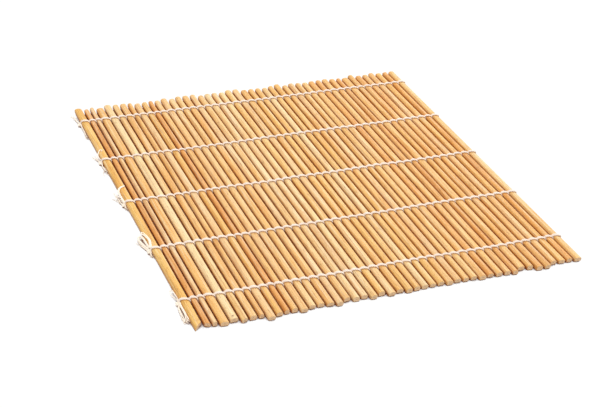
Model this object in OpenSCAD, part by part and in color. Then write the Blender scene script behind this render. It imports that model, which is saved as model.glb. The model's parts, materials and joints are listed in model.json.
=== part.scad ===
// Rolling mat: bamboo sticks tied side by side by rows of twined cotton string.
// X runs across the sticks, Y along them towards the back, Z up from the table.
// The origin is at the middle of the underside, where the string meets the table.

/* [Mat] */
// Number of sticks side by side
stick_count = 46; // [20:1:50]
// Reach of the longest ordinary stick, from back to front
stick_l = 240; // [200:1:300]
// Free gap between two sticks
stick_gap = 0.8; // [0.75:0.05:1.2]
// Number of rows of string
row_count = 5; // [3:1:5]
// Distance from the back ends to the first row
back_margin = 18; // [12:1:30]
// Distance from the front ends to the last row
front_margin = 25; // [14:1:40]

/* [Sticks] */
// Width of an ordinary stick
stick_w = 3.8; // [3.4:0.1:4.4]
// Width of the few narrow sticks
narrow_w = 2.9; // [2.6:0.1:3.3]
// Width of the few wide sticks
wide_w = 4.3; // [4:0.1:5]
// How far a width may stray from these, each way
width_spread = 0.3; // [0:0.05:0.4]
// Thickness of a stick, from its rounded crown to its flatter underside
stick_t = 2.8; // [2.4:0.1:3.4]
// How far the ends may fall short of the longest, at the back and at the front
end_stagger = 3; // [0:0.5:5]
// How far the one proud stick stands out at the front
proud_l = 1.5; // [0:0.5:3]
// Largest lean of a chopped end
chop_lean = 7; // [0:1:12]

/* [String] */
// Thickness of a strand where it lies over a stick
strand_t = 0.55; // [0.4:0.05:0.7]
// Thickness of a strand where it is pressed flat under a stick
pressed_t = 0.33; // [0.25:0.01:0.5]
// Width of a strand in a gap
strand_w = 1.1; // [0.8:0.05:1.3]
// Width of a strand where it spreads over a crown
spread_w = 1.35; // [1.1:0.05:1.6]
// Free space between a strand and what it lies on
seat_gap = 0.04; // [0.03:0.01:0.08]

/* [Knots] */
// Diameter of the string in a knot and its tails
tail_d = 0.8; // [0.6:0.05:1]
// Width of the knot itself
knot_w = 3.3; // [3:0.1:4]
// Distance from a row back to where a lashed tail crosses the first stick
lash_back = 8; // [6:0.5:10]

/* [Hidden] */
NARROW_STICKS = [2, 3, 8, 11, 38];
WIDE_STICKS = [1, 4, 5, 39];
PROUD_STICK = 9;
// Front ends that are split askew: stick number, then the lean in degrees, positive where the left side is longer
SPLIT_ENDS = [[1, 48], [2, -32], [6, 20]];

function two_digits(k) = str(k < 10 ? "0" : "", k);
function stick_name(k) = str("stick_", two_digits(k));
function row_name(r) = str("string_row_", r);
function knot_name(r) = str("knot_", r);

// Plain vector helpers
function unit(v) = v / norm(v);
function flat(lists) = [for (l = lists) each l];
function backwards(l) = [for (i = [len(l) - 1 : -1 : 0]) l[i]];
function has(l, v) = len(search(v, l)) > 0;
function xz(p) = [p.x, p.z];

// Each stick's own width, ends and tone are drawn from fixed seeds
width_draw = rands(-1, 1, stick_count, 21);
back_draw = rands(0, 1, stick_count, 5);
front_draw = rands(0, 1, stick_count, 37);
back_lean = rands(-chop_lean, chop_lean, stick_count, 8);
front_lean = rands(-chop_lean, chop_lean, stick_count, 13);
tone_draw = rands(0, 1, stick_count, 3);

function base_w(k) = has(NARROW_STICKS, k) ? narrow_w : has(WIDE_STICKS, k) ? wide_w : stick_w;
widths = [for (k = [1 : stick_count]) base_w(k) + width_spread * width_draw[k - 1]];
function width(k) = widths[k - 1];

// Left edges, counted from the first stick's left edge
lefts = [for (k = 1, x = 0; k <= stick_count; x = x + width(k) + stick_gap, k = k + 1) x];
function left(k) = lefts[k - 1];
function centre_x(k) = left(k) + width(k) / 2;

// Ends, counted from the line of the longest back ends
function back_y(k) = -end_stagger * back_draw[k - 1];
function front_y(k) = k == PROUD_STICK ? -stick_l - proud_l : -stick_l + end_stagger * front_draw[k - 1];
function front_angle(k) =
    let (split = [for (s = SPLIT_ENDS) if (s[0] == k) s[1]])
    len(split) > 0 ? split[0] : front_lean[k - 1];

// Heights: the strands under the sticks lie on the table, and the sticks on them
seat_z = pressed_t + seat_gap;
mid_z = seat_z + stick_t / 2;

// Outline of a stick's section: a superellipse with a rounded crown and a squarer underside
section_sides = 20;
crown_power = 2.4;
base_power = 2.8;
half_side = 180 / section_sides;
function bulge(v, power) = sign(v) * pow(abs(v), 2 / power);
function section(w) = [
    for (i = [0 : section_sides - 1])
    let (
        a = (2 * i + 1) * half_side,
        power = a < 180 ? crown_power : base_power,
        full = bulge(cos(half_side), power)
    )
    [w / 2 * bulge(cos(a), power) / full, stick_t / 2 * bulge(sin(a), power) / full]
];
function reach(points, direction) = max([for (p = points) p * direction]);

// A strand leans as it crosses from the top of one stick to the underside of the next
gap_lean = 12;
// Slope of a strand from the edge of a stick up to its crown
crown_slope = 15;

// Half of the room that a leaning strand finds in a gap beside a stick of width w
function gap_room(w) =
    (w + stick_gap) / 2 * cos(gap_lean)
    - max([for (s = [-1, 1]) reach(section(w), [cos(gap_lean), s * sin(gap_lean)])]);
squeezed_t = min(strand_t, 2 * (min([for (w = widths) gap_room(w)]) - seat_gap));

// The two strands of a row pass each gap side by side, this far either side of the row's line
side_gap = 0.1;
side_y = (strand_w + side_gap) / 2;

// Where a strand over a stick of width w bends down into the gap, from the stick's middle
function shoulder(w) =
    let (
        c = reach(section(w), [sin(crown_slope), cos(crown_slope)]) + seat_gap + strand_t / 2,
        g = (w + stick_gap) / 2 * cos(gap_lean),
        d = cos(gap_lean + crown_slope)
    )
    [(g * cos(crown_slope) - c * sin(gap_lean)) / d, (c * cos(gap_lean) - g * sin(crown_slope)) / d];
function crown_z(w) =
    (reach(section(w), [sin(crown_slope), cos(crown_slope)]) + seat_gap + strand_t / 2) / cos(crown_slope);
function corner_x(w) = (w + stick_gap) / 2 - (mid_z - pressed_t / 2) * tan(gap_lean);

// One strand passes over every second stick and under the others; strand 0 passes over the last
function is_over(k, strand) = (stick_count - k) % 2 == strand;

// Centre points of one pass, from left to right: [place, width, thickness]
function over_pass(k) =
    let (w = width(k), s = shoulder(w), last = k == stick_count)
    [
        [[centre_x(k) - s.x, side_y, mid_z + s.y], strand_w, squeezed_t],
        [[centre_x(k), last ? side_y / 2 : 0, mid_z + crown_z(w)], spread_w, strand_t],
        [[centre_x(k) + s.x, last ? 0 : -side_y, mid_z + s.y], strand_w, squeezed_t]
    ];
function under_pass(k) =
    let (w = width(k), c = corner_x(w), last = k == stick_count)
    [
        [[centre_x(k) - c, -side_y, pressed_t / 2], strand_w, pressed_t],
        [[centre_x(k) + c, last ? 0 : side_y, pressed_t / 2], strand_w, pressed_t]
    ];
function pass(k, strand) = is_over(k, strand) ? over_pass(k) : under_pass(k);
function run(strand) = flat([for (k = [1 : stick_count]) pass(k, strand)]);

// Both strands start at the knot, on the left of the first stick
start_x = -stick_gap / 2;
tube_sides = 5;
knot_rise = 0.6 * tail_d;
knot_z = knot_rise + tail_d / 2 * cos(180 / tube_sides);
function start(strand) =
    let (y = is_over(1, strand) ? side_y : -side_y)
    concat(
        [[[start_x, y, knot_z], strand_w, squeezed_t]],
        is_over(1, strand) ? [[[start_x, y, mid_z], strand_w, squeezed_t]] : []
    );

// The string is doubled: it runs out as strand 0, folds round the last stick and comes back as strand 1
fold = [[left(stick_count) + width(stick_count) + stick_gap / 2, 0, mid_z], strand_w, squeezed_t];
outward = concat(start(0), run(0));
row_path = concat(outward, [fold], backwards(concat(start(1), run(1))));

// A strand's section is a pentagon: flat below, with a soft ridge above
flat_side = [[-0.6, -1], [0.6, -1], [1, 0.1], [0, 1], [-1, 0.1]];
turned_side = [[0, -1], [1, -0.1], [0.6, 1], [-0.6, 1], [-1, -0.1]];

// Direction across the strand at point i, made longer at a bend so that the strand keeps its thickness
function across(path, i) =
    let (
        here = xz(path[i][0]),
        into = i > 0 ? unit(here - xz(path[i - 1][0])) : unit(xz(path[1][0]) - here),
        out = i < len(path) - 1 ? unit(xz(path[i + 1][0]) - here) : into,
        along = unit(into + out)
    )
    [-along.y, along.x] / (along * into);
function ring(path, i) =
    let (
        u = across(path, i),
        p = path[i][0],
        w = path[i][1],
        t = path[i][2],
        sides = i < len(outward) ? flat_side : turned_side
    )
    [for (q = sides) [p.x + q.y * t / 2 * u.x, p.y + q.x * w / 2, p.z + q.y * t / 2 * u.y]];
row_points = flat([for (i = [0 : len(row_path) - 1]) ring(row_path, i)]);

// Skin over rings of n points each, closed by a flat end at either end
function skin(rings, n) = concat(
    [[for (j = [0 : n - 1]) j]],
    flat([for (i = [0 : rings - 2], j = [0 : n - 1])
        let (a = i * n + j, b = i * n + (j + 1) % n)
        [[a, a + n, b + n], [a, b + n, b]]]),
    [[for (j = [n - 1 : -1 : 0]) (rings - 1) * n + j]]
);

// Round tube of tail_d along a path, with a flat side below
function heading(path, i) = unit(path[min(i + 1, len(path) - 1)] - path[max(i - 1, 0)]);
function tube_points(path) = [
    for (i = [0 : len(path) - 1])
    let (t = heading(path, i), side = unit(cross([0, 0, 1], t)), up = cross(t, side))
    for (j = [0 : tube_sides - 1])
    let (a = 360 * (j + 0.5) / tube_sides - 90)
    path[i] + tail_d / 2 * (cos(a) * side + sin(a) * up)
];

// The knot is an overhand knot: an open trefoil that lies flat on the table beside the first stick
knot_reach = (knot_w - tail_d) / 2;
knot_core = 0.63 * tail_d;
knot_x = start_x - squeezed_t / 2 - seat_gap - knot_w / 2;
function knot_turn(a) =
    let (r = (knot_reach + knot_core) / 2 + (knot_reach - knot_core) / 2 * cos(3 * a))
    [r * cos(180 + 2 * a), r * sin(180 + 2 * a), knot_rise * sin(3 * a)];
knot_turns = [for (a = [30 : 20 : 330]) knot_turn(a)];

// Tails, chosen by hand, as points from the knot's middle outwards: [back tail, front tail] for each row
low = -knot_rise;
edge_x = -knot_x;
lash_z = seat_z + stick_t + seat_gap + tail_d / 2 - knot_z;
function lashed(d) = [
    [-1.2, 1, low], [-1.5, 2.4, low], [-1.4, 4.2, low], [-0.6, 5.4, 0],
    [edge_x - 0.9 * tail_d, d - 1.9 * tail_d, mid_z - knot_z],
    [edge_x - 0.1 * tail_d, d - 1.1 * tail_d, lash_z - 0.4 * tail_d],
    [edge_x + 0.2 * width(1), d - 0.5 * tail_d, lash_z],
    [edge_x + 0.5 * width(1), d, lash_z],
    [edge_x + 0.9 * width(1), d + 0.4 * tail_d, lash_z]
];
TAILS = [
    [
        [[-1.2, 1, low], [-1.4, 2.6, low], [-0.8, 5, low], [-0.3, 8, low], [-0.9, 11, low]],
        [[-1.1, -1.1, 0.2], [-1.4, -2.6, low], [-1, -6, low], [-0.6, -10, low], [-1.2, -14, low]]
    ],
    [
        [[-1.2, 1, low], [-1.5, 3, low], [-0.6, 6, low], [-0.2, 9.5, low], [-0.6, 13, low]],
        [[-1.1, -1.1, 0.2], [-1.5, -2.6, low], [-1.2, -5, low], [-0.6, -8.5, low], [-0.8, -12, low]]
    ],
    [
        lashed(lash_back),
        [[-1.1, -1.1, 0.2], [-1.4, -2.4, low], [-0.9, -4.4, low], [-0.6, -7, low]]
    ],
    [
        lashed(lash_back + 1),
        [[-1.1, -1.1, 0.2], [-1.3, -2.2, low], [-0.9, -3.8, low], [-0.8, -6, low]]
    ],
    [
        [[-1.2, 1, low], [-1.5, 2.6, low], [-1.2, 4.4, low], [-0.9, 6.5, low]],
        [[-1.1, -1.1, 0.2], [-1.3, -3, low], [-0.7, -6, low], [-0.5, -9.5, low], [-1, -13, low]]
    ]
];
function knot_path(r) = [
    for (p = concat(backwards(TAILS[r - 1][1]), knot_turns, TAILS[r - 1][0]))
    [knot_x, row_y(r), knot_z] + p
];

// Rows are spaced evenly between the margins
row_pitch = (stick_l - back_margin - front_margin) / (row_count - 1);
function row_y(r) = -back_margin - (r - 1) * row_pitch;

// The part is centred on the box round all of it
low_x = min([for (r = [1 : row_count]) each [for (p = tube_points(knot_path(r))) p.x]]);
high_x = max([for (p = row_points) p.x]);
high_y = max([for (k = [1 : stick_count]) back_y(k)]);
low_y = min([for (k = [1 : stick_count]) front_y(k)]);
middle = [(low_x + high_x) / 2, (low_y + high_y) / 2, 0];

// Bamboo runs from cream to golden brown from stick to stick
function bamboo(k) =
    let (t = tone_draw[k - 1])
    [0.96, 0.84, 0.63] * (1 - t) + [0.88, 0.64, 0.36] * t;
cotton = [0.95, 0.91, 0.84];

// Cuts off an end at a lean. Its longer side keeps the end's full length.
module chop(k, y, lean, toward_front) {
    long_left = (lean > 0) == toward_front;
    far = 2 * width(k);
    translate([centre_x(k) + (long_left ? -1 : 1) * width(k) / 2, y, mid_z])
        rotate([0, 0, lean])
            translate([long_left ? -far : -2 * far, toward_front ? -far : 0, -stick_t])
                cube([3 * far, far, 2 * stick_t]);
}

module stick(k) {
    color(bamboo(k))
        translate(-middle)
            difference() {
                translate([centre_x(k), back_y(k), mid_z])
                    rotate([90, 0, 0])
                        linear_extrude(back_y(k) - front_y(k))
                            polygon(section(width(k)));
                chop(k, back_y(k), back_lean[k - 1], false);
                chop(k, front_y(k), front_angle(k), true);
            }
}

module string_row(r) {
    color(cotton)
        translate([0, row_y(r), 0] - middle)
            polyhedron(row_points, skin(len(row_path), len(flat_side)));
}

module knot(r) {
    path = knot_path(r);
    color(cotton)
        translate(-middle)
            polyhedron(tube_points(path), skin(len(path), tube_sides));
}

for (k = [1 : stick_count])
    stick(k);
for (r = [1 : row_count])
    string_row(r);
for (r = [1 : row_count])
    knot(r);
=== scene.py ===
"""Bamboo rolling mat: split sticks tied side by side by five rows of twined cotton string.

X runs across the sticks, Y along them towards the back, Z up from the table.
Lengths are in metres, and MM turns a size in millimetres into metres.
"""

import json
import logging
import math
from dataclasses import dataclass, field
from enum import Enum

import bpy
import numpy as np
from bpy.types import Material, Node, NodeSocket, Object, World
from mathutils import Matrix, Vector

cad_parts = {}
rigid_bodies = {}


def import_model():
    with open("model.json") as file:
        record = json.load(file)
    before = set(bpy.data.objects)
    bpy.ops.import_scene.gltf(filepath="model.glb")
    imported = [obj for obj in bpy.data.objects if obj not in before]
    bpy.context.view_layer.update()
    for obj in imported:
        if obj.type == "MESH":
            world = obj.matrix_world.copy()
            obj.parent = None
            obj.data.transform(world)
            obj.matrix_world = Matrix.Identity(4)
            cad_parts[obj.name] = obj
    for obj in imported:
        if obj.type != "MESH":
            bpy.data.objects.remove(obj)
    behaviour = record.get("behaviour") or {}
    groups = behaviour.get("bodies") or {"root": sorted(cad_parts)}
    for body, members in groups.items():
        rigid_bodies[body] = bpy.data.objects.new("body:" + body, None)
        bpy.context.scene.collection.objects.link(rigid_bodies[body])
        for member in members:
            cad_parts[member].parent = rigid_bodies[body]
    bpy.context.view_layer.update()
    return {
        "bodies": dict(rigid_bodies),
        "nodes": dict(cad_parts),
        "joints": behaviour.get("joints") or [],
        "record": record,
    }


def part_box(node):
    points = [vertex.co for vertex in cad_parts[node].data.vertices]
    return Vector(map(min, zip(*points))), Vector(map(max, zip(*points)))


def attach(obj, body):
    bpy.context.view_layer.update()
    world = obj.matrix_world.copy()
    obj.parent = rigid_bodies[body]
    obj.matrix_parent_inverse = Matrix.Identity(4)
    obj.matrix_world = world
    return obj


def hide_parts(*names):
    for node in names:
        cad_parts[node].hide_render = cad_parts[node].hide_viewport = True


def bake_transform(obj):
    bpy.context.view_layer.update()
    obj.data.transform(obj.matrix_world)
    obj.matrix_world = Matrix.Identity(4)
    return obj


Pair = tuple[float, float]
Triple = tuple[float, float, float]
MM = 0.001
LOG = logging.getLogger("rolling_mat")
FIBRE_RADIUS = 0.02 * MM
WHITE = (1.0, 1.0, 1.0, 1.0)


class Tone(Enum):
    """How dark a bamboo stick is, from cream to brown."""

    CREAM = 0.05
    STRAW = 0.25
    GOLD = 0.5
    AMBER = 0.75
    BROWN = 1.0


class Seed(Enum):
    """First seed of each kind of draw, to which the number of the stick or row is added."""

    TONE = 7
    HUE = 11
    WAVE = 70
    STICK = 100
    FLUFF = 500
    TAIL = 900


class Layer(Enum):
    """How a strand passes a stick."""

    OVER = 1
    UNDER = 0


# Small maths helpers


def linear(hex_colour: str) -> tuple[float, float, float, float]:
    """Turns a screen colour into the linear one that a shader takes.

    Args:
        hex_colour: Six hexadecimal digits, red first.

    Returns:
        Red, green and blue in linear light, and an alpha of 1.
    """
    parts = [int(hex_colour[i : i + 2], 16) / 255 for i in (0, 2, 4)]
    lit = [c / 12.92 if c <= 0.04045 else ((c + 0.055) / 1.055) ** 2.4 for c in parts]
    return (*lit, 1.0)


def unit(vectors: np.ndarray) -> np.ndarray:
    """Each vector over its own length."""
    return vectors / np.maximum(np.linalg.norm(vectors, axis=-1, keepdims=True), 1e-12)


def smooth_path(points: np.ndarray, steps: int) -> np.ndarray:
    """Runs a Catmull-Rom curve through points: each span is the cubic that meets both of its ends
    with slopes of half the chord between the neighbours on either side.

    Args:
        points: Values to pass through, one row each, in any number of columns.
        steps: Samples per span.

    Returns:
        The samples, (spans * steps + 1) rows.
    """
    before = np.vstack([2 * points[:1] - points[1:2], points[:-2]])
    after = np.vstack([points[2:], 2 * points[-1:] - points[-2:-1]])
    start, end = points[:-1], points[1:]
    t = (np.arange(steps) / steps)[None, :, None]
    p0, p1, p2, p3 = (p[:, None, :] for p in (before, start, end, after))
    curve = 0.5 * (
        2 * p1
        + (p2 - p0) * t
        + (2 * p0 - 5 * p1 + 4 * p2 - p3) * t**2
        + (3 * p1 - p0 - 3 * p2 + p3) * t**3
    )
    return np.vstack([curve.reshape(-1, points.shape[1]), points[-1:]])


def lobed_tube(
    path: np.ndarray,
    across: np.ndarray,
    thick: np.ndarray,
    turns: np.ndarray,
    sides: int,
    lobes: int,
    relief: float,
    lean_on: Triple,
) -> np.ndarray:
    """Carries a string's section along a path. The section is an ellipse whose radius swells and
    dips with the cosine of lobes times the angle less the twist, one swell for each ply.

    Args:
        path: Centre points, one row each.
        across: Width of the section at each point.
        thick: Thickness of the section at each point.
        turns: Twist of the plies at each point, in radians.
        sides: Points round the section.
        lobes: Number of plies.
        relief: Depth of the grooves as a share of the radius.
        lean_on: Direction that the width keeps to.

    Returns:
        Points, (rows, sides, 3).
    """
    along = unit(np.gradient(path, axis=0))
    wide = np.array(lean_on) - (along @ np.array(lean_on))[:, None] * along
    wide = unit(wide)
    tall = np.cross(wide, along)
    angle = np.linspace(0, 2 * math.pi, sides, endpoint=False)[None, :]
    swell = 1 + relief * (np.cos(lobes * angle - turns[:, None]) - 1)
    flat = (np.cos(angle) * swell)[..., None] * (across / 2)[:, None, None] * wide[:, None, :]
    high = (np.sin(angle) * swell)[..., None] * (thick / 2)[:, None, None] * tall[:, None, :]
    return path[:, None, :] + flat + high


def grid_normals(grid: np.ndarray, loop: bool = False) -> np.ndarray:
    """Normals of a closed grid: the cross product of its slope along and its slope round.

    Args:
        grid: Points, (rows, sides, 3).
        loop: Whether the last row meets the first.

    Returns:
        Unit normals of the same shape.
    """
    if loop:
        longer = np.concatenate([grid[-1:], grid, grid[:1]])
        return grid_normals(longer)[1:-1]
    along = np.gradient(grid, axis=0)
    around = np.roll(grid, -1, axis=1) - np.roll(grid, 1, axis=1)
    return unit(np.cross(along, around))


def run_length(path: np.ndarray) -> np.ndarray:
    """Distance along a path from its first point to each point."""
    steps = np.linalg.norm(np.diff(path, axis=0), axis=1)
    return np.concatenate([[0.0], np.cumsum(steps)])


def smooth_step(values: np.ndarray, low: float, high: float) -> np.ndarray:
    """Rises from 0 at low to 1 at high, as three squares less two cubes of the share between."""
    share = np.clip((values - low) / (high - low), 0, 1)
    return share * share * (3 - 2 * share)


@dataclass
class Skin:
    """Gathers closed tubes and makes one mesh of them."""

    points: list[np.ndarray] = field(default_factory=list)
    normals: list[np.ndarray] = field(default_factory=list)
    quads: list[np.ndarray] = field(default_factory=list)
    lids: list[np.ndarray] = field(default_factory=list)
    marks: dict[str, list[np.ndarray]] = field(default_factory=dict)
    count: int = 0

    def add(
        self,
        grid: np.ndarray,
        normals: np.ndarray | None = None,
        loop: bool = False,
        **marks: np.ndarray,
    ) -> None:
        """Adds one tube, a loop or closed by a lid at either end. A face joins four neighbours of
        the grid.

        Args:
            grid: Points, (rows, sides, 3).
            normals: Normals of the same shape, or None to work them out.
            loop: Whether the last row meets the first.
            marks: Values for the shader, (rows, sides) each.
        """
        rows, sides = grid.shape[:2]
        index = self.count + np.arange(rows * sides).reshape(rows, sides)
        near, far = (index, np.roll(index, -1, axis=0)) if loop else (index[:-1], index[1:])
        quads = np.stack([near, far, np.roll(far, -1, axis=1), np.roll(near, -1, axis=1)], axis=-1)
        if normals is None:
            normals = grid_normals(grid, loop)
        self.points.append(grid.reshape(-1, 3))
        self.normals.append(normals.reshape(-1, 3))
        self.quads.append(quads.reshape(-1, 4))
        self.lids += [] if loop else [index[0], index[-1][::-1]]
        for name, values in marks.items():
            spread = np.broadcast_to(values, (rows, sides))
            self.marks.setdefault(name, []).append(spread.reshape(-1))
        self.count += rows * sides

    def add_fluff(
        self, roots: np.ndarray, ways: np.ndarray, length: float, dice: np.random.Generator
    ) -> None:
        """Adds loose fibres, each a fine three-sided tube that leaves along its way, curls as a
        parabola to one side and thins to a point.

        Args:
            roots: Where the fibres leave the string, one row each.
            ways: Directions that they leave in.
            length: Mean length of a fibre.
            dice: Source of the random draws.
        """
        share = np.linspace(0, 1, 5)[:, None]
        corner = np.radians([0, 120, 240])[None, :, None]
        for root, way in zip(roots, ways):
            reach = length * dice.uniform(0.5, 1.4)
            out = unit(way + dice.normal(0, 0.45, 3))
            curl = np.cross(out, unit(dice.normal(0, 1, 3)))
            path = root + reach * (share * out + 0.5 * share**2 * curl)
            path[:, 2] = np.maximum(path[:, 2], FIBRE_RADIUS)
            side = unit(curl)
            other = np.cross(out, side)
            radius = (FIBRE_RADIUS * (1 - 0.6 * share))[:, :, None]
            grid = path[:, None, :] + radius * (np.cos(corner) * side - np.sin(corner) * other)
            self.add(grid, groove=np.zeros((1, 1)))

    def build(self, name: str, material: Material) -> Object:
        """Makes the mesh and its object, at the origin.

        Args:
            name: Name of the piece.
            material: Finish of the piece.

        Returns:
            The new object.
        """
        mesh = bpy.data.meshes.new(name)
        quads = np.concatenate(self.quads)
        faces = quads.tolist() + [lid.tolist() for lid in self.lids]
        mesh.from_pydata(np.concatenate(self.points), [], faces)
        smooth = np.ones(len(faces), dtype=bool)
        smooth[len(quads) :] = False
        mesh.polygons.foreach_set("use_smooth", smooth)
        for label, values in self.marks.items():
            layer = mesh.attributes.new(label, "FLOAT", "POINT")
            layer.data.foreach_set("value", np.concatenate(values).astype(np.float32))
        mesh.materials.append(material)
        mesh.normals_split_custom_set_from_vertices(np.concatenate(self.normals).tolist())
        piece = bpy.data.objects.new(name, mesh)
        bpy.context.scene.collection.objects.link(piece)
        return piece


# Finishes


class Nodes:
    """Adds shader nodes to a material or a world and joins them."""

    def __init__(self, owner: Material | World) -> None:
        """Starts with an output node alone.

        Args:
            owner: The material or the world that the nodes belong to.
        """
        owner.use_nodes = True
        self.owner, self.tree = owner, owner.node_tree
        self.tree.nodes.clear()
        world = isinstance(owner, World)
        self.output = self.node("OutputWorld" if world else "OutputMaterial")

    def node(self, kind: str, inputs: dict | None = None, **settings: object) -> Node:
        """Adds one node.

        Args:
            kind: Name of the node's class, without its first part.
            inputs: Values or sockets for its inputs.
            settings: Values for its own properties.

        Returns:
            The new node.
        """
        made = self.tree.nodes.new("ShaderNode" + kind)
        for key, value in settings.items():
            setattr(made, key, value)
        for key, value in (inputs or {}).items():
            if isinstance(value, NodeSocket):
                self.tree.links.new(value, made.inputs[key])
            else:
                made.inputs[key].default_value = value
        return made

    def ramp(self, factor: NodeSocket, stops: dict[float, str]) -> NodeSocket:
        """Adds a colour ramp.

        Args:
            factor: What drives it.
            stops: Colours by place.

        Returns:
            Its colour socket.
        """
        made = self.node("ValToRGB", {"Fac": factor})
        elements = made.color_ramp.elements
        for place in list(stops)[2:]:
            elements.new(place)
        for element, (place, colour) in zip(elements, sorted(stops.items())):
            element.position = place
            element.color = linear(colour)
        return made.outputs["Color"]

    def stretched_noise(self, scale: Triple, detail: float, source: NodeSocket) -> NodeSocket:
        """Adds noise with repeats per metre along X, Y and Z, and gives its value."""
        place = self.node("Mapping", {"Vector": source, "Scale": scale}).outputs[0]
        return self.node("TexNoise", {"Vector": place, "Scale": 1.0, "Detail": detail}).outputs["Fac"]

    def mix(
        self,
        factor: float | NodeSocket,
        first: NodeSocket | tuple,
        second: NodeSocket | tuple,
        way: str = "MIX",
    ) -> NodeSocket:
        """Mixes two colours by the share of the second one."""
        inputs = {0: factor, 6: first, 7: second}
        return self.node("Mix", inputs, data_type="RGBA", blend_type=way).outputs[2]

    def span(self, value: NodeSocket, low: float, high: float, to: Pair) -> NodeSocket:
        """Carries the values from low to high over to the two new ends."""
        inputs = {"Value": value, "From Min": low, "From Max": high, "To Min": to[0], "To Max": to[1]}
        return self.node("MapRange", inputs).outputs["Result"]

    def mix_shaders(self, factor: NodeSocket, first: Node, second: Node) -> Node:
        """Mixes two shaders by the share of the second one."""
        return self.node("MixShader", {0: factor, 1: first.outputs[0], 2: second.outputs[0]})

    def show(self, shader: Node) -> Material | World:
        """Joins the last shader to the output and gives back the owner."""
        self.tree.links.new(shader.outputs[0], self.output.inputs["Surface"])
        return self.owner


@dataclass(frozen=True)
class Grain:
    """Noise drawn out along a stick, whose part between two levels is laid on in a colour."""

    scale: Triple
    detail: float
    low: float
    high: float
    most: float
    colour: str


@dataclass(frozen=True)
class BambooFinish:
    """Dry split bamboo: a tone of its own for each stick, long fibres, fine dashes of darker vessels,
    painted shade in brown on the lower sides, where the sticks shade each other, and cut ends."""

    cream: str = "F5DEB2"
    straw: str = "F1CF98"
    gold: str = "EEC07A"
    amber: str = "E6A95C"
    brown: str = "D9954A"
    yellowish: str = "FFF8D2"
    pinkish: str = "FFF6FF"
    # Colour of the painted shade on the lower sides of the sticks
    side_stain: str = "B8762A"
    end_face: str = "F4CDA2"
    # Colour of the painted shade laid in the dents
    nick: str = "5E2F12"
    gloss: Pair = (0.4, 0.6)
    specular: float = 0.3
    relief: float = 0.2 * MM
    end_cover: float = 0.8
    # The tone drifts along a stick by this much
    drift_scale: Triple = (300, 30, 300)
    drift_reach: float = 0.16
    pale: Grain = Grain((1000, 26, 1100), 3, 0.52, 0.68, 0.35, "FAE8C6")
    streaks: Grain = Grain((1400, 20, 1400), 4, 0.5, 0.66, 0.34, "A86A30")
    fibres: Grain = Grain((5200, 70, 5200), 3, 0.5, 0.66, 0.24, "A86A30")
    vessels: Grain = Grain((2700, 170, 2700), 1, 0.6, 0.7, 0.4, "8C5424")

    def material(self) -> Material:
        """Builds the bamboo's nodes.

        Returns:
            The bamboo.
        """
        nodes = Nodes(bpy.data.materials.new("bamboo"))
        place = nodes.node("TexCoord").outputs["Object"]
        read = {
            name: nodes.node("Attribute", attribute_name=name).outputs["Fac"]
            for name in ("tone", "hue", "cut", "flank", "mark")
        }
        drift = nodes.stretched_noise(self.drift_scale, 3, place)
        drift = nodes.span(drift, 0.3, 0.7, (-self.drift_reach, self.drift_reach))
        shifted = nodes.node("Math", {0: read["tone"], 1: drift}, operation="ADD")
        stops = {tone.value: getattr(self, tone.name.lower()) for tone in Tone}
        base = nodes.ramp(shifted.outputs[0], stops)
        tint = nodes.mix(read["hue"], linear(self.yellowish), linear(self.pinkish))
        colour = nodes.mix(1.0, base, tint, "MULTIPLY")
        noises = {}
        for grain in (self.pale, self.streaks, self.fibres, self.vessels):
            noises[grain] = nodes.stretched_noise(grain.scale, grain.detail, place)
            share = nodes.span(noises[grain], grain.low, grain.high, (0, grain.most))
            colour = nodes.mix(share, colour, linear(grain.colour))
        # Painted shade: the lower sides, where the neighbouring sticks shade them, are darkened in
        # brown
        flank_shaded = nodes.mix(read["flank"], colour, linear(self.side_stain), "MULTIPLY")
        cut = nodes.span(read["cut"], 0, 1, (0, self.end_cover))
        ended = nodes.mix(cut, flank_shaded, linear(self.end_face))
        # Painted shade in the split and the hole
        nicked = nodes.mix(read["mark"], ended, linear(self.nick))
        streaks, fibres = noises[self.streaks], noises[self.fibres]
        height = nodes.node("Math", {0: streaks, 1: fibres}, operation="ADD").outputs[0]
        bump = nodes.node("Bump", {"Strength": 0.5, "Distance": self.relief, "Height": height})
        inputs = {
            "Base Color": nicked,
            "Roughness": nodes.span(fibres, 0.3, 0.7, self.gloss),
            "Specular IOR Level": self.specular,
            "Normal": bump.outputs["Normal"],
        }
        return nodes.show(nodes.node("BsdfPrincipled", inputs))


@dataclass(frozen=True)
class CottonFinish:
    """Soft off-white cotton string, with painted shade in the grooves between its plies and fine lint
    on it.
    """

    thread: str = "F8E8DA"
    # Colour of the painted shade in the grooves between the plies, also laid on in the stain patches
    groove: str = "E4C8B0"
    sheen: float = 0.4
    # Strength of a painted glow, standing in for light bounced up from the ground
    glow: float = 0.0
    groove_share: float = 0.6
    stain_share: float = 0.3
    relief: float = 0.1 * MM

    def material(self, name: str) -> Material:
        """Builds the cotton's nodes.

        Args:
            name: Name of the material.

        Returns:
            The material.
        """
        nodes = Nodes(bpy.data.materials.new(name))
        place = nodes.node("TexCoord").outputs["Object"]
        lint = nodes.stretched_noise((3800, 3800, 3800), 3, place)
        stain = nodes.stretched_noise((180, 180, 180), 2, place)
        groove = nodes.node("Attribute", attribute_name="groove").outputs["Fac"]
        # Painted shade: the grooves between the plies are darkened
        dark = nodes.span(groove, 0.2, 1.0, (0, self.groove_share))
        shade = nodes.mix(dark, linear(self.thread), linear(self.groove))
        patches = nodes.span(stain, 0.5, 0.75, (0, self.stain_share))
        worn = nodes.mix(patches, shade, linear(self.groove))
        bump = nodes.node("Bump", {"Strength": 0.5, "Distance": self.relief, "Height": lint})
        inputs = {
            "Base Color": worn,
            "Roughness": 0.92,
            "Sheen Weight": self.sheen,
            "Sheen Roughness": 0.6,
            "Emission Color": linear(self.thread),
            "Emission Strength": self.glow,
            "Normal": bump.outputs["Normal"],
        }
        return nodes.show(nodes.node("BsdfPrincipled", inputs))


# The mat


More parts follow.
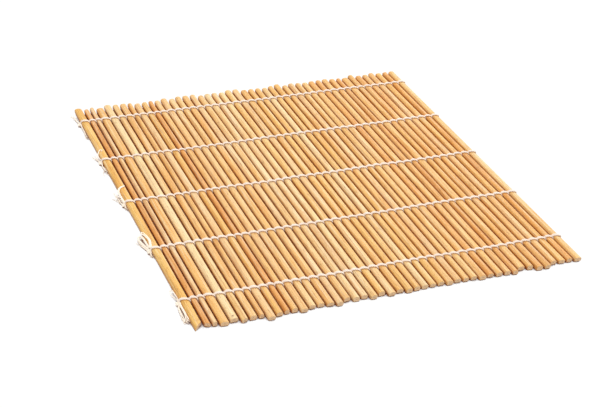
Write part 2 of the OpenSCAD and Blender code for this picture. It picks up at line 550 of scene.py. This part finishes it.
@dataclass(frozen=True)
class StickSection:
    """Outline of a stick: a superellipse with a rounded crown and a squarer underside."""

    crown_power: float = 2.35
    base_power: float = 6.0

    def outline(self, angle: np.ndarray) -> np.ndarray:
        """Cosine and sine of an angle, each raised to two over the power with its sign kept.

        Args:
            angle: Angles in radians, from the right-hand side up over the crown.

        Returns:
            Places in half widths and half thicknesses, with a last axis of two.
        """
        power = np.where(np.sin(angle) >= 0, self.crown_power, self.base_power)
        both = np.stack([np.cos(angle), np.sin(angle)], axis=-1)
        return np.sign(both) * np.abs(both) ** (2 / power[..., None])


@dataclass(frozen=True)
class StickPlace:
    """Where a stick lies, read from its solid."""

    number: int
    middle_x: float
    middle_z: float
    width: float
    thickness: float
    back_y: float
    back_slope: float
    front_y: float
    front_slope: float

    @property
    def name(self) -> str:
        """Name of the stick's solid and body."""
        return f"stick_{self.number:02d}"


def read_stick(number: int, solid: Object) -> StickPlace:
    """Reads a stick's place. Each end is a straight cut, so its slope is a line fitted to the
    end's own corners.

    Args:
        number: Number of the stick, from the knotted edge.
        solid: The stick's solid.

    Returns:
        The stick's place.
    """
    low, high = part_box(solid.name)
    corners = np.zeros(len(solid.data.vertices) * 3, dtype=np.float32)
    solid.data.vertices.foreach_get("co", corners)
    corners = corners.reshape(-1, 3).astype(float)
    middle_x = (low.x + high.x) / 2
    ends = []
    for end in (corners[corners[:, 1] > 0], corners[corners[:, 1] < 0]):
        slope, level = np.polyfit(end[:, 0] - middle_x, end[:, 1], 1)
        ends += [float(level), float(slope)]
    width, thickness = high.x - low.x, high.z - low.z
    return StickPlace(number, middle_x, (low.z + high.z) / 2, width, thickness, *ends)


@dataclass(frozen=True)
class Nick:
    """A small flaw in a stick: a dent where it is negative, or a lump. Dark is the share of painted
    shade laid in the dent.
    """

    from_front: float
    angle_deg: float
    rise: float
    spread: float
    dark: float = 0.0


@dataclass
class BambooStick:
    """One stick of split bamboo."""

    place: StickPlace
    tone: float
    hue: float
    nicks: tuple[Nick, ...] = ()
    section: StickSection = field(default_factory=StickSection)
    rim: float = 0.13 * MM
    slack: float = 0.12 * MM
    unevenness: float = 0.035 * MM
    # Slow swelling of the width and the thickness, and the level where the latter is full
    width_swell: float = 0.02
    high_swell: float = 0.015
    full_swell: float = 1.7
    # Ends: length with closer points, reach of the slant, how far the lower edge draws back for
    # the thickness, jags of the rim and roughness of the face
    end_zone: float = 9 * MM
    end_reach: float = 5 * MM
    lean: Pair = (0.05, 0.4)
    jag: float = 0.06 * MM
    cut_grain: float = 0.04 * MM
    # Range of the depth of the painted shade on the lower sides, drawn for each stick
    stain_depth: Pair = (0.25, 1.0)
    sides: int = 36

    def stations(self) -> tuple[np.ndarray, np.ndarray, np.ndarray]:
        """Places of the section along the stick, closer near the ends. Within the rim of an end
        the section shrinks as the root of one less the square of the way in, and then closes over
        the end face in rings.

        Returns:
            Distance from the back end, size of the section, and 1 on an end face, one value each.
        """
        length = self.place.back_y - self.place.front_y
        bend = np.linspace(0, math.pi / 2, 4)
        face = np.array([0.04, 0.36, 0.7, 0.9])
        half_width = self.place.width / 2
        shrink = 1 - self.rim / half_width * (1 - np.sin(bend))
        lift = self.rim * (1 - np.cos(bend))
        close = np.linspace(self.rim, self.end_zone, 13)[1:]
        free = np.linspace(self.end_zone, length - self.end_zone, 24)[1:-1]
        half = np.concatenate([np.zeros(4), lift, close])
        down = np.concatenate([half, free, length - half[::-1]])
        end_size = np.concatenate([face * shrink[0], shrink, np.ones(len(close))])
        size = np.concatenate([end_size, np.ones(len(free)), end_size[::-1]])
        cut = np.concatenate([np.ones(4), np.zeros(len(size) - 8), np.ones(4)])
        return down, size, cut

    def surface(self) -> tuple[np.ndarray, dict[str, np.ndarray]]:
        """Carries the section from the back end to the front end. Its width and thickness swell
        and dip slowly as sums of cosines, the ends keep to their slanted cuts, and each flaw is a
        bell-shaped rise.

        Returns:
            Points (rows, sides, 3), and the values for the shader.
        """
        p, dice = self.place, np.random.default_rng(Seed.STICK.value + self.place.number)
        down, size, cut = (values[:, None] for values in self.stations())
        length = p.back_y - p.front_y
        share = down / length
        angle = np.linspace(0, 2 * math.pi, self.sides, endpoint=False)[None, :]
        outline = self.section.outline(angle)
        ripple = self.unevenness * sum(
            np.cos(n * angle + dice.uniform(0, 6.3) + dice.uniform(-5, 5) * share)
            * dice.uniform(0.3, 1)
            for n in (2, 3, 5)
        )
        swell = [
            sum(np.cos(n * math.pi * share + dice.uniform(0, 6.3)) / n for n in (2, 5, 9))
            for _ in range(2)
        ]
        # Each flaw is a bell-shaped rise, darkened by its share of painted shade
        dent, dark = np.zeros_like(ripple), np.zeros_like(ripple)
        for nick in self.nicks:
            turn = (angle - math.radians(nick.angle_deg)) * p.width / 2
            away = ((length - down - nick.from_front) ** 2 + turn**2) / nick.spread**2
            bell = np.exp(-away)
            dent += nick.rise * bell
            dark += nick.dark * bell
        half_width = (p.width / 2 - self.slack) * (1 + self.width_swell * swell[0])
        half_high = p.thickness / 2 * (1 + self.high_swell * (swell[1] - self.full_swell))
        bulge = (ripple + dent) * size
        x = half_width * outline[..., 0] * size + bulge * np.cos(angle)
        z = half_high * outline[..., 1] * size + bulge * np.sin(angle) * 0.6
        z = np.maximum(z, -p.thickness / 2)
        slope = p.back_slope * (1 - share) + p.front_slope * share
        back = np.exp(-((down / self.end_reach) ** 2))
        front = np.exp(-(((length - down) / self.end_reach) ** 2))
        lean = dice.uniform(*self.lean, 2)
        under = (0.5 - z / p.thickness) * p.thickness
        jag = self.jag * sum(np.cos(n * angle + dice.uniform(0, 6.3)) for n in (3, 7, 11)) * size
        y = p.back_y - down + slope * x * (back + front)
        y += (lean[0] * under + jag) * -back + (lean[1] * under + jag) * front
        y += dice.normal(0, self.cut_grain, y.shape) * cut
        grid = np.stack([p.middle_x + x, y, p.middle_z + z], axis=-1)
        # Painted shade on the lower sides, as deep as drawn for this stick
        depth = dice.uniform(*self.stain_depth)
        rise = np.sin(angle)
        below = 0.25 + 0.75 * smooth_step(rise, -0.8, -0.45)
        flank = (1 - smooth_step(rise, -0.25, 0.55)) * below
        marks = {
            "tone": np.full((1, 1), self.tone),
            "hue": np.full((1, 1), self.hue),
            "cut": cut,
            "flank": depth * flank * (1 - cut),
            "mark": np.clip(dark, 0, 1),
        }
        return grid, marks

    def build(self, finish: Material) -> Object:
        """Builds the stick and sets it in place of its solid.

        Args:
            finish: The bamboo.

        Returns:
            The piece.
        """
        grid, marks = self.surface()
        skin = Skin()
        skin.add(grid, **marks)
        piece = skin.build(f"bamboo_{self.place.name}", finish)
        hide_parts(self.place.name)
        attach(piece, self.place.name)
        return piece


@dataclass
class TwinedRow:
    """One row of doubled string, whose two strands pass over and under the sticks by turns. A point
    of a strand is a row of x, z, share of the sideways reach, width and thickness."""

    number: int
    sticks: list[StickPlace]
    gaps: np.ndarray
    line_y: float
    section: StickSection = field(default_factory=StickSection)
    clearance: float = 0.03 * MM
    over_size: Pair = (2.05 * MM, 0.8 * MM)
    gap_size: Pair = (1.6 * MM, 0.7 * MM)
    under_size: Pair = (1.4 * MM, 0.33 * MM)
    # Height and thickness where a strand turns up beside a stick, and how far off it stands
    turn_z: float = 0.62 * MM
    turn_thick: float = 0.45 * MM
    turn_off: float = 0.05 * MM
    # Where the strands meet: out from the side of the edge stick, and below its middle
    fold_out: float = 0.42 * MM
    fold_drop: float = 0.3 * MM
    crossing_rise: float = 0.55 * MM
    reach_y: float = 0.72 * MM
    jitter: float = 0.12 * MM
    drift: float = 0.25 * MM
    plies: int = 3
    relief: float = 0.14
    fluff_per_piece: int = 12
    fluff_length: float = 0.7 * MM
    lay_length: float = 3.4 * MM
    # The strand swells and thins by this share, in waves of about 14 mm
    plump: float = 0.08
    plump_length: float = 2.3 * MM
    # A piece bends within this far of its gap's middle
    bend_half: float = 0.9 * MM
    sides: int = 16
    steps: int = 5
    per_stick: int = 6

    @property
    def solid(self) -> str:
        """Name of the row's solid."""
        return f"string_row_{self.number}"

    def over(self, stick: StickPlace) -> np.ndarray:
        """Points over a stick: its outline set off outwards by the strand's half thickness.

        Args:
            stick: The stick that is passed.

        Returns:
            Five points.
        """
        angle = np.radians([148, 120, 90, 60, 32])
        at = self.section.outline(angle) * [stick.width / 2, stick.thickness / 2]
        lean = np.sign(at) * np.abs(self.section.outline(angle)) ** (self.section.crown_power - 1)
        normal = unit(lean / [stick.width / 2, stick.thickness / 2])
        off = self.clearance + self.over_size[1] / 2
        places = at + normal * off + [stick.middle_x, stick.middle_z]
        fullness = np.array([0, 0.6, 1, 0.6, 0])[:, None]
        sizes = fullness * self.over_size + (1 - fullness) * self.gap_size
        return np.column_stack([places, [0.8, 0.5, 0, -0.5, -0.8], sizes])

    def under(self, stick: StickPlace) -> np.ndarray:
        """Points under a stick: along the table, turning up at either side.

        Args:
            stick: The stick that is passed.

        Returns:
            Five points.
        """
        width, press = self.under_size
        edge = stick.width / 2 + self.turn_off
        x = stick.middle_x + edge * np.array([-1, -0.7, 0, 0.7, 1])
        z = [self.turn_z, press / 2, press / 2, press / 2, self.turn_z]
        thick = [self.turn_thick, press, press, press, self.turn_thick]
        return np.column_stack([x, z, [-0.8, -0.5, 0, 0.5, 0.8], [width] * 5, thick])

    def fold(self, side: float) -> np.ndarray:
        """Point where both strands meet round the outer side of the first or the last stick.

        Args:
            side: -1 for the first stick, or 1 for the last.

        Returns:
            One point.
        """
        stick = self.sticks[0] if side < 0 else self.sticks[-1]
        x = stick.middle_x + side * (stick.width / 2 + self.fold_out)
        return np.array([[x, stick.middle_z - self.fold_drop, 0.0, *self.gap_size]])

    def controls(self, strand: int) -> np.ndarray:
        """Points of a whole strand, from the first stick's left side to the last one's right side.

        Args:
            strand: 0 for the strand that passes over the last stick, or 1.

        Returns:
            Points, six for each stick and one more at the start.
        """
        rows, last = [self.fold(-1.0)], len(self.sticks)
        for stick in self.sticks:
            layer = Layer.OVER if (last - stick.number) % 2 == strand else Layer.UNDER
            rows.append(self.over(stick) if layer is Layer.OVER else self.under(stick))
            if stick.number < last:
                side = -1.0 if layer is Layer.OVER else 1.0
                x, z = self.gaps[stick.number - 1], stick.middle_z + self.crossing_rise
                rows.append(np.array([[x, z, side, *self.gap_size]]))
        rows.append(self.fold(1.0))
        return np.vstack(rows)

    def strand(self, strand: int) -> tuple[np.ndarray, np.ndarray, np.ndarray]:
        """Surface of a whole strand.

        Args:
            strand: 0 or 1.

        Returns:
            Points and normals (rows, sides, 3), and depth in the grooves (rows, sides).
        """
        dice = np.random.default_rng(10 * self.number + strand)
        fine = smooth_path(self.controls(strand), self.steps)
        x, z, share, across, thick = fine.T
        place = np.arange(len(x))
        jitter = np.interp(place, np.linspace(0, len(x), 60), dice.normal(0, self.jitter, 60))
        waves = np.random.default_rng(Seed.WAVE.value + self.number).normal(0, self.drift, 14)
        waves[[0, -1]] = 0
        drift = smooth_path(waves[:, None], 12)[:, 0]
        drift = np.interp(place, np.linspace(0, len(x), len(drift)), drift)
        path = np.column_stack([x, self.line_y + share * self.reach_y + jitter + drift, z])
        length = run_length(path)
        turns = 2 * math.pi * length / self.lay_length * self.plies + dice.uniform(0, 6)
        plump = 1 + self.plump * np.sin(length / self.plump_length + dice.uniform(0, 6))
        grid = lobed_tube(
            path, across * plump, thick, turns, self.sides, self.plies, self.relief, (0, 1, 0)
        )
        angle = np.linspace(0, 2 * math.pi, self.sides, endpoint=False)[None, :]
        # Depth in the grooves, where the cotton lays on painted shade
        groove = (1 - np.cos(self.plies * angle - turns[:, None])) / 2
        return grid, grid_normals(grid), groove

    def build(self, finish: Material) -> list[Object]:
        """Builds the row: one piece for each gap, left where it is built, and a piece on the first
        and on the last stick, which rides with that stick.

        Args:
            finish: The cotton.

        Returns:
            The pieces.
        """
        strands = [self.strand(0), self.strand(1)]
        dice = np.random.default_rng(Seed.FLUFF.value + self.number)
        stride, last = self.per_stick * self.steps, len(self.sticks)
        middles = 3 * self.steps + stride * np.arange(last)
        cuts = [0, *middles, len(strands[0][0]) - 1]
        pieces = []
        for k in range(last + 1):
            skin = Skin()
            for grid, normals, groove in strands:
                part = slice(cuts[k], cuts[k + 1] + 1)
                skin.add(grid[part], normals[part], groove=groove[part])
                pick = dice.integers(0, grid[part].shape[:2], (self.fluff_per_piece // 2, 2)).T
                roots, ways = grid[part][tuple(pick)], normals[part][tuple(pick)]
                skin.add_fluff(roots, ways, self.fluff_length, dice)
            first, second = max(k, 1), min(k + 1, last)
            piece = skin.build(f"row_{self.number}_twist_{k:02d}", finish)
            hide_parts(self.solid)
            if first == second:
                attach(piece, f"stick_{first:02d}")
            else:
                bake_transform(piece)
            pieces.append(piece)
        return pieces


@dataclass(frozen=True)
class Tail:
    """A length of string past the end of a row. Its points are in millimetres from the place where
    the row leaves the first stick: right, back, and up from the table. Flat is its height as a
    share of its width, less than 1 where it lies pressed on a stick."""

    row: int
    points: tuple[Triple, ...]
    width: float = 0.9
    flare: float = 1.2
    fray: float = 0.5
    looped: bool = False
    fibres: int = 60
    flat: float = 1.0


@dataclass
class RowEnd:
    """Knot at the end of a row with its loose tails, some frayed and some folded back."""

    number: int
    origin: Pair
    tails: tuple[Tail, ...]
    plies: int = 3
    string: float = 0.85 * MM
    relief: float = 0.14
    knot_turns: int = 12
    reach: float = 1.05 * MM
    core: float = 0.45 * MM
    rise: float = 0.42 * MM
    knot_place: Pair = (-1.15 * MM, 1.25 * MM)
    lay_length: float = 4.2 * MM
    sides: int = 12
    # Each ply of a tail is itself made of a few yarns
    yarns: int = 2
    yarn_relief: float = 0.12
    yarn_length: float = 1.6 * MM
    yarn_sides: int = 8
    short_fluff: float = 0.6 * MM
    long_fluff: float = 2.0 * MM

    def knot(self) -> np.ndarray:
        """A closed trefoil lying flat, whose radius swings three times for its two turns.

        Returns:
            Centre points, one row each.
        """
        turn = np.linspace(0, 2 * math.pi, 96, endpoint=False)
        r = (self.reach + self.core) / 2 + (self.reach - self.core) / 2 * np.cos(3 * turn)
        x = self.origin[0] + self.knot_place[0] + r * np.cos(2 * turn)
        y = self.origin[1] + r * np.sin(2 * turn)
        return np.column_stack([x, y, self.knot_place[1] + self.rise * np.sin(3 * turn)])

    def ply(
        self, tail: Tail, number: int, dice: np.random.Generator
    ) -> tuple[np.ndarray, np.ndarray]:
        """Path of one ply of a tail. It winds round the tail's own path, and where the tail is
        frayed it stands off further and further and wanders.

        Args:
            tail: The tail.
            number: Number of the ply.
            dice: Source of the random draws.

        Returns:
            Centre points, one row each, and the ply's thickness at each.
        """
        path = smooth_path(np.array(tail.points) * MM, 8)
        length = run_length(path)
        share = length / length[-1]
        loose = smooth_step(share, tail.fray, 1.3) * (0 if tail.looped else 1)
        phase = 2 * math.pi * (number / self.plies + length / self.lay_length * (1 - 0.6 * loose))
        along = unit(np.gradient(path, axis=0))
        side = unit(np.cross(along, [0, 0, 1]) + 1e-9)
        up = np.cross(side, along)
        away = tail.width * MM * 0.27 + tail.flare * MM * loose
        wander = smooth_path(dice.normal(0, 0.35 * MM, (6, 3)), 12)
        spot = np.linspace(0, len(wander) - 1, len(path)).astype(int)
        press = np.array([1, 1, tail.flat])
        wound = np.cos(phase)[:, None] * side + tail.flat * np.sin(phase)[:, None] * up
        path = path + away[:, None] * wound + wander[spot] * loose[:, None] * press
        path[:, :2] += self.origin
        thick = tail.width * MM * 0.52 * (1 - 0.45 * loose)
        path[:, 2] = np.maximum(path[:, 2], thick / 2 + 0.02 * MM)
        return path, thick

    def build(self, finish: Material) -> Object:
        """Builds the knot and its tails, and sets them in place of the knot's solid.

        Args:
            finish: The cotton.

        Returns:
            The piece.
        """
        dice = np.random.default_rng(Seed.TAIL.value + self.number)
        skin = Skin()
        angle = np.linspace(0, 2 * math.pi, self.sides, endpoint=False)[None, :]
        path = self.knot()
        turns = np.linspace(0, 2 * math.pi * self.knot_turns, len(path), endpoint=False)
        size = np.full(len(path), self.string)
        form = self.sides, self.plies, self.relief
        grid = lobed_tube(path, size, size, turns, *form, (0, 0, 1))
        skin.add(grid, loop=True, groove=(1 - np.cos(self.plies * angle - turns[:, None])) / 2)
        form = self.yarn_sides, self.yarns, self.yarn_relief
        for tail in self.tails:
            for number in range(self.plies):
                path, thick = self.ply(tail, number, dice)
                turns = 2 * math.pi * run_length(path) / self.yarn_length
                tall = thick * (1 + tail.flat) / 2
                grid = lobed_tube(path, tall, thick, turns, *form, (0.3, 0.2, 1))
                # The painted shade of the grooves keeps to the string's own angles, a little out of
                # line
                around = self.yarns * angle[:, : self.yarn_sides]
                groove = (1 - np.cos(around - turns[:, None])) / 2
                skin.add(grid, groove=groove * 0.6)
                tip = dice.integers(int(0.45 * len(path)), len(path), tail.fibres // self.plies)
                ways = unit(np.gradient(path, axis=0))[tip] + dice.normal(0, 0.5, (len(tip), 3))
                short = tail.looped or tail.flat < 1
                fluff = self.short_fluff if short else self.long_fluff
                skin.add_fluff(path[tip], ways, fluff, dice)
        piece = skin.build(f"row_end_{self.number}", finish)
        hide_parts(f"knot_{self.number}")
        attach(piece, "stick_01")
        return piece


# Loose ends, by the number of their row from the back one

TAILS = (
    Tail(1, width=0.9, flare=1.5, points=(
        (-0.6, 0.6, 1.7), (-1.2, 3, 1.2), (-1.5, 6, 0.9), (-2, 9.5, 1), (-2.7, 12.5, 1.4),
    )),
    Tail(1, width=0.8, flare=0.6, points=(
        (-0.4, -0.6, 1.7), (-0.6, -4, 1.2), (-0.5, -9, 1), (-0.7, -14, 0.8), (-0.9, -17, 0.7),
    )),
    Tail(2, width=0.6, flare=0.5, fray=0.7, fibres=18, flat=0.5, points=(
        (-0.3, 0.6, 2.2), (-0.8, 3.5, 2.2), (-0.9, 7, 2.5), (0.4, 10, 3.1), (1.8, 11.6, 3.4),
        (2.4, 9.6, 3.4),
    )),
    Tail(2, width=0.8, flare=1.4, fray=0.3, points=(
        (-0.6, 0.5, 1.2), (-1.4, 3, 0.9), (-2.2, 6, 0.8), (-3.1, 9, 0.9),
    )),
    Tail(2, width=0.8, flare=1.5, fray=0.3, points=(
        (-0.6, -0.8, 1.4), (-1, -4, 1), (-0.7, -7.5, 1), (-1, -10, 0.8), (-0.8, -13, 0.7),
    )),
    Tail(3, width=1.25, flare=0.6, fray=0.8, fibres=24, flat=0.4, points=(
        (-0.3, 0.5, 2.2), (-0.5, 5, 2), (-0.7, 10, 2.3), (-0.4, 13.4, 2.8), (1, 15.2, 3.4),
        (2.4, 15.8, 3.5), (3.7, 16.6, 3.4),
    )),
    Tail(3, width=1, flare=2.2, fray=0.15, fibres=120, points=(
        (-0.4, 0.4, 1.6), (-0.9, 4, 1.5), (-1.5, 8, 1.5), (-2.1, 12, 1.6),
    )),
    Tail(3, width=0.8, flare=1.6, fray=0.2, fibres=90, points=(
        (-0.6, 0.3, 1), (-1.8, 3, 0.8), (-2.6, 6.5, 0.8), (-3.4, 10, 0.9),
    )),
    Tail(3, width=0.7, flare=0.4, points=((-0.4, -0.5, 1.6), (-0.7, -2, 1), (-0.5, -3.6, 0.7))),
    Tail(4, width=1.3, looped=True, points=(
        (-0.6, 0.6, 1.5), (-1.3, 4, 1.2), (-2.3, 8, 1.1), (-3.2, 12, 1.1), (-2.9, 14.2, 1.3),
        (-1.8, 14.6, 1.8), (-1, 12, 2.2), (-0.8, 7, 2.2), (-0.4, 2, 2),
    )),
    Tail(4, width=1.5, flare=0.7, fray=0.5, fibres=30, flat=0.4, points=(
        (0, 0.8, 2.9), (0.5, 4, 3.3), (1, 8, 3.45), (0.3, 12.5, 3.3), (-0.6, 16.5, 2.9),
    )),
    Tail(4, width=0.8, flare=1.2, fray=0.4, points=(
        (-0.5, 0.4, 0.9), (-2, 3.5, 0.8), (-3.2, 8, 0.8), (-4, 11.5, 0.9),
    )),
    Tail(4, width=0.8, flare=0.5, points=((-0.4, -0.6, 1.5), (-0.9, -2, 0.9), (-0.7, -4, 0.7))),
    Tail(5, width=0.6, looped=True, points=(
        (-0.3, 0.5, 1.9), (-0.9, 3.5, 1.5), (-2, 8, 1.3), (-1.7, 11, 1.4), (-0.8, 10.4, 2),
        (-0.5, 5.5, 2.2), (-0.3, 1, 2),
    )),
    Tail(5, width=1.15, flare=0.7, fray=0.6, points=(
        (-0.4, -0.6, 1.9), (-0.7, -4, 2), (-0.6, -9, 2), (-0.7, -13, 1.7), (-0.9, -16.5, 1.3),
    )),
    Tail(5, width=1.15, flare=0.8, fray=0.5, points=(
        (-0.8, -0.8, 1.2), (-1.8, -4, 1), (-2.1, -9, 0.9), (-2.2, -13, 0.8), (-2.2, -16, 0.8),
    )),
)


# The studio


@dataclass(frozen=True)
class Lamp:
    """A square soft lamp, turned to the middle of the mat."""

    name: str
    place: Triple
    size: float
    power: float

    def build(self) -> None:
        """Hangs the lamp."""
        light = bpy.data.lights.new(self.name, "AREA")
        light.energy, light.size = self.power, self.size
        holder = bpy.data.objects.new(self.name, light)
        aim = -unit(np.array(self.place))
        side = unit(np.cross(aim, [0, 0, 1]))
        turn = Matrix([side, np.cross(side, aim), -aim]).transposed().to_4x4()
        holder.matrix_world = Matrix.Translation(self.place) @ turn
        bpy.context.scene.collection.objects.link(holder)


@dataclass(frozen=True)
class Studio:
    """White surround, ground, two soft lamps and the camera."""

    camera_place: Triple = (-0.27626, -0.65142, 0.39385)
    heading_deg: float = 22.970
    dip_deg: float = 29.886
    roll_deg: float = 3.218
    lens_mm: float = 85.45
    sensor_mm: float = 36.0
    clip: Pair = (0.01, 20.0)
    # Strength of the surround to the camera, and as light from above and from below
    white: float = 1.05
    ambient: float = 0.8
    from_below: float = 0.7
    # Ground: its half width, the reach of its shade, and how open it is where it starts to show
    # and where it shows in full
    half_ground: float = 3.0
    shade_reach: float = 0.005
    shade_levels: Pair = (0.48, 0.36)
    # Colour of the painted shade where the ground is covered, and the colour and strength of the
    # painted glow it gives back there
    slit: str = "8C5C30"
    bounce: str = "A86C2C"
    bounce_power: float = 0.5
    lamps: tuple[Lamp, ...] = (
        Lamp("key", (0.9, 0.7, 0.9), 1.4, 15.0),
        Lamp("fill", (-0.8, -0.6, 1.0), 1.2, 4.0),
    )

    def camera(self) -> None:
        """Sets up the camera. It looks along the heading, tipped down by the dip, and is then
        rolled about its own line of sight."""
        head, dip, roll = np.radians([self.heading_deg, self.dip_deg, self.roll_deg])
        level = np.array([math.cos(head), -math.sin(head), 0.0])
        onward = np.array([math.sin(head), math.cos(head), 0.0])
        ahead = math.cos(dip) * onward - math.sin(dip) * np.array([0.0, 0.0, 1.0])
        right = math.cos(roll) * level + math.sin(roll) * np.cross(level, ahead)
        lens = bpy.data.cameras.new("camera")
        lens.lens, lens.sensor_width = self.lens_mm, self.sensor_mm
        lens.clip_start, lens.clip_end = self.clip
        camera = bpy.data.objects.new("camera", lens)
        turn = Matrix([right, np.cross(right, ahead), -ahead]).transposed().to_4x4()
        camera.matrix_world = Matrix.Translation(self.camera_place) @ turn
        bpy.context.scene.collection.objects.link(camera)
        bpy.context.scene.camera = camera

    def ground(self) -> None:
        """Lays the ground. It shows only where something stands close over it, as in the slits
        between the sticks: there the camera sees a dark brown sheet of painted shade, and other rays
        take a dim warm painted glow from it. So it shades only where it is touched, and a pose that
        reaches below it stays in sight."""
        nodes = Nodes(bpy.data.materials.new("ground"))
        # Painted shade to the camera and a painted warm glow to other rays, where something covers
        # the ground
        shade = nodes.node("BsdfPrincipled", {"Base Color": linear(self.slit), "Roughness": 0.9})
        bounce = {"Color": linear(self.bounce), "Strength": self.bounce_power}
        seen = nodes.node("LightPath").outputs["Is Camera Ray"]
        solid = nodes.mix_shaders(seen, nodes.node("Emission", bounce), shade)
        hollow = nodes.node("AmbientOcclusion", {"Distance": self.shade_reach}, samples=8)
        covered = nodes.span(hollow.outputs["AO"], *self.shade_levels, (0, 1))
        glass = nodes.node("BsdfTransparent")
        mesh = bpy.data.meshes.new("ground")
        corners = self.half_ground * np.array([(-1, -1, 0), (1, -1, 0), (1, 1, 0), (-1, 1, 0)])
        mesh.from_pydata(corners, [], [(0, 1, 2, 3)])
        mesh.materials.append(nodes.show(nodes.mix_shaders(covered, glass, solid)))
        ground = bpy.data.objects.new("ground", mesh)
        bpy.context.scene.collection.objects.link(ground)

    def surround(self) -> None:
        """Sets the world: white to the camera, weaker as light, and weakest from below."""
        nodes = Nodes(bpy.data.worlds.new("surround"))
        way = nodes.node("SeparateXYZ", {0: nodes.node("TexCoord").outputs["Generated"]})
        level = nodes.span(way.outputs["Z"], -0.1, 0.1, (self.from_below, self.ambient))
        light = nodes.node("Background", {"Color": WHITE, "Strength": level})
        white = nodes.node("Background", {"Color": WHITE, "Strength": self.white})
        seen = nodes.node("LightPath").outputs["Is Camera Ray"]
        bpy.context.scene.world = nodes.show(nodes.mix_shaders(seen, light, white))

    def build(self) -> None:
        """Sets up the whole studio."""
        self.camera()
        self.ground()
        self.surround()
        for lamp in self.lamps:
            lamp.build()
        settings = bpy.context.scene.view_settings
        settings.view_transform, settings.look = "Standard", "None"


@dataclass
class RollingMat:
    """The whole mat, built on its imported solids."""

    frame: dict
    first_hue: float = 0.0
    # Tones of the first sticks from the knotted edge, bells for the draws of the others, and the
    # numbers of sticks between which the tones darken
    first_tones: tuple[Tone, ...] = (
        Tone.GOLD, Tone.AMBER, Tone.STRAW, Tone.GOLD, Tone.CREAM, Tone.STRAW, Tone.GOLD,
        Tone.GOLD, Tone.STRAW, Tone.GOLD, Tone.AMBER,
    )
    tone_bell: Pair = (0.4, 0.12)
    hue_bell: Pair = (0.5, 0.15)
    darker: float = 0.16
    darker_from: int = 16
    darker_to: int = 40
    # Flaws by number of stick: a lump and a split on the first, a hole in the fifth; the split and
    # the hole are darkened with painted shade
    flaws: dict[int, tuple[Nick, ...]] = field(
        default_factory=lambda: {
            1: (
                Nick(13 * MM, 150, 0.45 * MM, 1.6 * MM),
                Nick(3 * MM, 60, -0.3 * MM, 0.8 * MM, 0.4),
            ),
            5: (Nick(2.2 * MM, 95, -0.4 * MM, 0.55 * MM, 1.0),),
        }
    )

    def draw(self, seed: Seed, bell: Pair, count: int) -> np.ndarray:
        """Draws values between 0 and 1 from a bell curve of a given middle and deviation."""
        return np.clip(np.random.default_rng(seed.value).normal(*bell, count), 0.02, 0.98)

    def build(self) -> None:
        """Builds every stick, row and row end, and reports each."""
        solids = self.frame["nodes"]
        names = sorted(n for n in solids if n.startswith("stick_"))
        sticks = [read_stick(k + 1, solids[n]) for k, n in enumerate(names)]
        joints = sorted(self.frame["joints"], key=lambda joint: joint["name"])
        gaps = np.array([joint["pos_m"][0] for joint in joints])
        bamboo, cotton = BambooFinish().material(), CottonFinish().material("cotton")
        # Painted light: the row ends take a paler copy of the cotton that glows a little, standing in
        # for the light bounced up from the ground
        frayed = CottonFinish("FCF1E0", "F3E0CA", glow=0.12).material("frayed_cotton")
        tones = self.draw(Seed.TONE, self.tone_bell, len(sticks))
        way = smooth_step(np.arange(len(sticks)), self.darker_from, self.darker_to)
        tones += self.darker * way
        tones[: len(self.first_tones)] = [tone.value for tone in self.first_tones]
        hues = self.draw(Seed.HUE, self.hue_bell, len(sticks))
        hues[0] = self.first_hue
        for place, tone, hue in zip(sticks, tones, hues):
            nicks = self.flaws.get(place.number, ())
            piece = BambooStick(place, float(tone), float(hue), nicks).build(bamboo)
            LOG.info("%s: %d faces", piece.name, len(piece.data.polygons))
        rows = sorted(n for n in solids if n.startswith("string_row_"))
        edge = sticks[0].middle_x - sticks[0].width / 2
        for number, name in enumerate(rows, 1):
            low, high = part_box(name)
            line_y = (low.y + high.y) / 2
            pieces = TwinedRow(number, sticks, gaps, line_y).build(cotton)
            LOG.info("row %d: %d pieces", number, len(pieces))
            tails = tuple(tail for tail in TAILS if tail.row == number)
            piece = RowEnd(number, (edge, line_y), tails).build(frayed)
            LOG.info("%s: %d faces", piece.name, len(piece.data.polygons))


def main() -> None:
    logging.basicConfig(level=logging.INFO, format="%(name)s: %(message)s")
    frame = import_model()
    RollingMat(frame).build()
    Studio().build()


if __name__ == "__main__":
    main()
